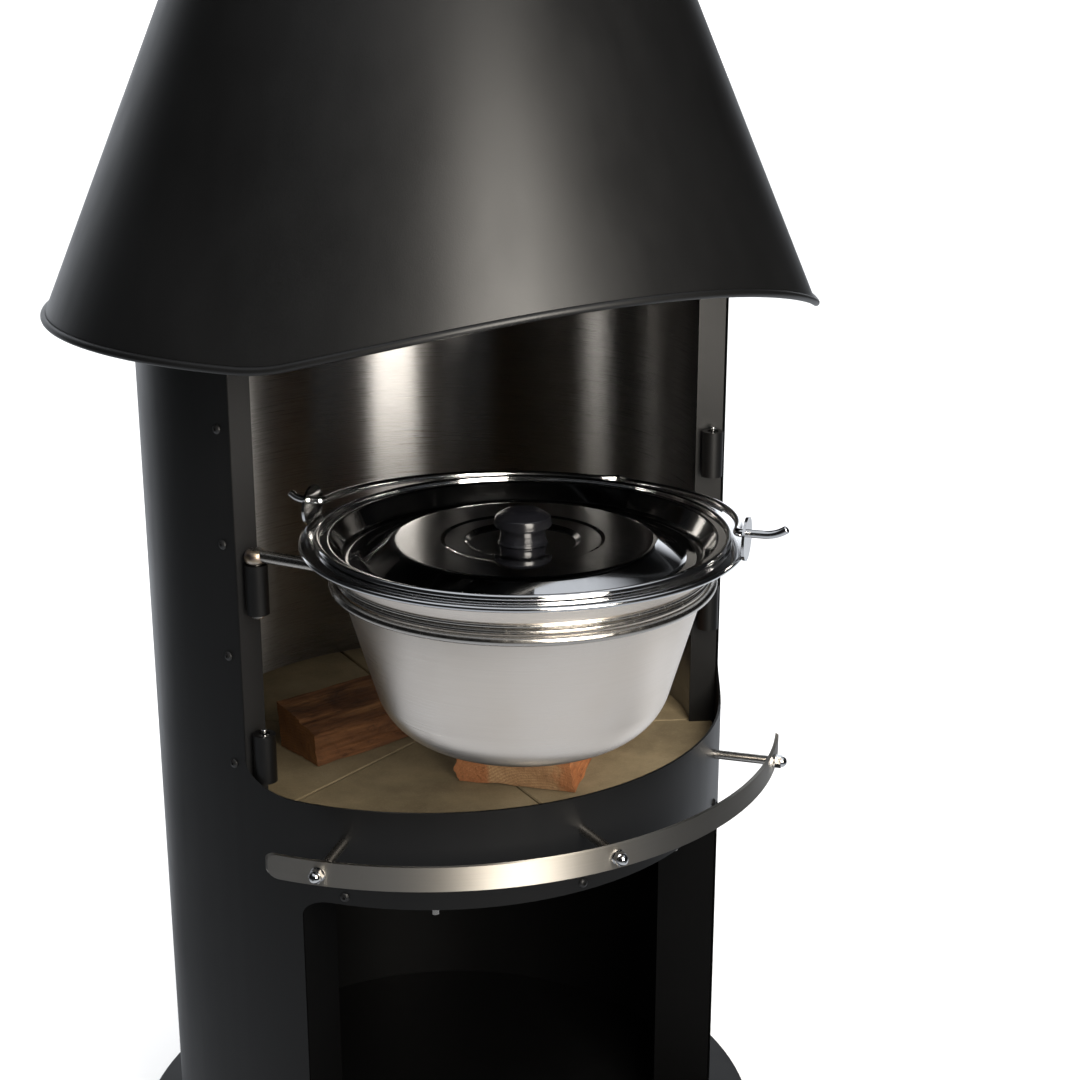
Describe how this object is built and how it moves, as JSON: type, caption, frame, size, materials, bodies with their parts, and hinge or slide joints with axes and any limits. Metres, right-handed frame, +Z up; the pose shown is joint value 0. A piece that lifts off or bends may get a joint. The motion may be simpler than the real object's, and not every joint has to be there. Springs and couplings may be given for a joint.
{
  "type": "chiminea with swing arm and cooking pot",
  "caption": "Round steel chiminea: open fire chamber over a log store, turning conical hood with a flue, front tool rail, and a swing arm that carries a lidded pot with a bail handle.",
  "frame": {"origin": "centre of the base plate's underside on the ground, the centre of its anchor hole circle", "axes": "+X to the right seen from the front, +Y to the back, +Z up; the fire opening faces -Y"},
  "size_m": [0.644, 0.7391, 1.687],
  "materials": {
    "paint": "satin",
    "stainless": "brushed",
    "polished": "polished",
    "pot_steel": "satin",
    "weld": "heat tinted",
    "black_screw": "satin",
    "knob": "satin",
    "bronze": "plain",
    "firebrick": "dusty",
    "firewood": "split"
  },
  "bodies": {
    "body": {"base_plate": "paint", "body_shell": "paint", "store_jamb_left": "paint", "store_jamb_right": "paint", "support_ring": "paint", "fire_floor": "paint", "floor_bolts": "stainless", "hearth_tile_1": "firebrick", "hearth_tile_2": "firebrick", "hearth_tile_3": "firebrick", "hearth_tile_4": "firebrick", "hearth_tile_5": "firebrick", "hearth_tile_6": "firebrick", "liner": "stainless", "jamb_left": "paint", "jamb_right": "paint", "jamb_screws": "black_screw", "band_screws": "black_screw", "barrel_left_lower": "paint", "barrel_left_upper": "paint", "barrel_right_lower": "paint", "barrel_right_upper": "paint", "barrel_plugs": "polished", "tool_rail": "stainless", "rail_standoffs": "stainless", "rail_washers": "polished", "rail_cap_nuts": "polished", "top_ring": "paint", "pivot_spider": "paint", "pivot_post": "stainless", "thrust_washer": "bronze", "log_left": "firewood", "log_right": "firewood"},
    "hood": {"hood": "paint", "hood_hem": "paint", "hood_spider": "paint", "flue_pipe": "paint", "flue_collar": "paint", "rain_cap": "paint", "cap_struts": "paint"},
    "arm": {"carrying_ring": "stainless", "swing_pin": "stainless", "arm_bar": "stainless", "arm_weld": "weld"},
    "pot": {"pot": "pot_steel", "pot_ears": "pot_steel"},
    "lid": {"lid": "polished", "lid_knob": "knob", "knob_screw": "polished"},
    "bail": {"bail": "pot_steel"}
  },
  "joints": [
    {"name": "arm_swing", "type": "hinge", "parent": "body", "child": "arm", "pos_m": [-0.21053, -0.111, 0.619], "axis": [0, 0, -1], "range_deg": [-72, 105]},
    {"name": "hood_turn", "type": "hinge", "parent": "body", "child": "hood", "pos_m": [0, 0, 1.25], "axis": [0, 0, 1], "continuous": true},
    {"name": "pot_lift", "type": "slide", "parent": "arm", "child": "pot", "axis": [0, 0, 1], "range_m": [0, 0.07]},
    {"name": "lid_lift", "type": "slide", "parent": "pot", "child": "lid", "axis": [0, 0, 1], "range_m": [0, 0.045]},
    {"name": "bail_swing", "type": "hinge", "parent": "pot", "child": "bail", "pos_m": [-0.0556, -0.2531, 0.671], "axis": [-0.7133, 0.7009, 0], "range_deg": [-40, 0]}
  ]
}
